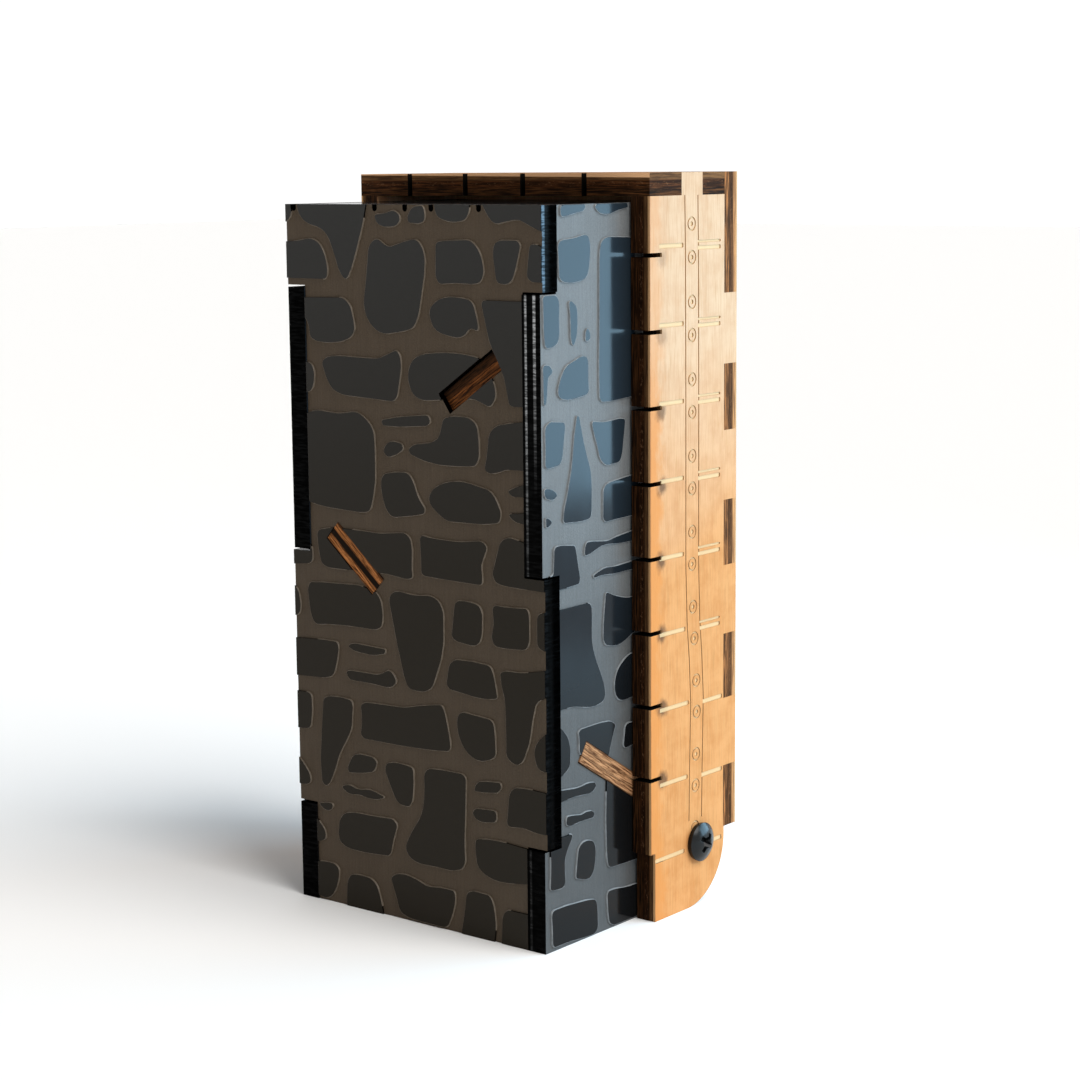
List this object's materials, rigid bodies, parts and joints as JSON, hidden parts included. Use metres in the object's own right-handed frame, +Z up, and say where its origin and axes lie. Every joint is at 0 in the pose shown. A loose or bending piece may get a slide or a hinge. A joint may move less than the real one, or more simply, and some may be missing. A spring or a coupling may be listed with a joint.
{
  "type": "puzzle box",
  "caption": "Castle-tower puzzle box: black stone-pattern tower with an inner ball run and treasure room, held in a plywood drawbridge shell that folds down on two screws.",
  "frame": {"origin": "bottom centre of the whole box, on the surface it stands on", "axes": "+Z up the tower, -Y out of the stone front, +Y out of the drawbridge deck, +X to the right seen from the stone front"},
  "size_m": [0.0534, 0.0386, 0.1003],
  "materials": {
    "front_stone": "black cast acrylic, stones left glossy, laser-engraved mortar matt grey-brown",
    "side_stone": "black cast acrylic, stones left glossy, laser-engraved mortar matt grey",
    "gate_stone": "black cast acrylic, engraved like the sides",
    "plain_acrylic": "plain glossy black cast acrylic",
    "inner_ply": "bare birch plywood with laser-charred edges",
    "ramp_ply": "bare birch plywood, tenon ends toasted orange-brown by the laser",
    "shell_ply": "bare birch plywood, engraved, edges charred dark brown",
    "black_screw": "black zinc-plated steel",
    "steel_nut": "bright zinc-plated steel",
    "ball_steel": "polished bearing steel",
    "bolt_steel": "ground steel pin"
  },
  "bodies": {
    "tower": {"front_stone_wall": "front_stone", "right_stone_wall": "side_stone", "left_stone_wall": "side_stone", "rear_gate_wall": "gate_stone", "tower_roof": "plain_acrylic", "tower_floor": "plain_acrylic", "run_partition": "inner_ply", "treasure_floor": "inner_ply", "upper_ramp": "ramp_ply", "middle_ramp": "ramp_ply", "side_ramp": "ramp_ply", "bolt_guide": "inner_ply", "pivot_screw_right": "black_screw", "pivot_screw_left": "black_screw", "pivot_nut_right": "steel_nut", "pivot_nut_left": "steel_nut"},
    "drawbridge": {"drawbridge_deck": "shell_ply", "drawbridge_right_wall": "shell_ply", "drawbridge_left_wall": "shell_ply", "drawbridge_top": "shell_ply"},
    "ball": {"steel_ball": "ball_steel"},
    "bolt": {"lock_bolt": "bolt_steel"}
  },
  "joints": [
    {"name": "drawbridge_pivot", "type": "hinge", "parent": "tower", "child": "drawbridge", "pos_m": [0, 0.01035, 0.009], "axis": [-1, 0, 0], "range_deg": [0, 90]},
    {"name": "ball_run", "type": "slide", "parent": "tower", "child": "ball", "axis": [0, -0.8554, 0.518], "range_m": [0, 0.02]},
    {"name": "bolt_slide", "type": "slide", "parent": "tower", "child": "bolt", "axis": [0, 1, 0], "range_m": [0, 0.0024]}
  ]
}
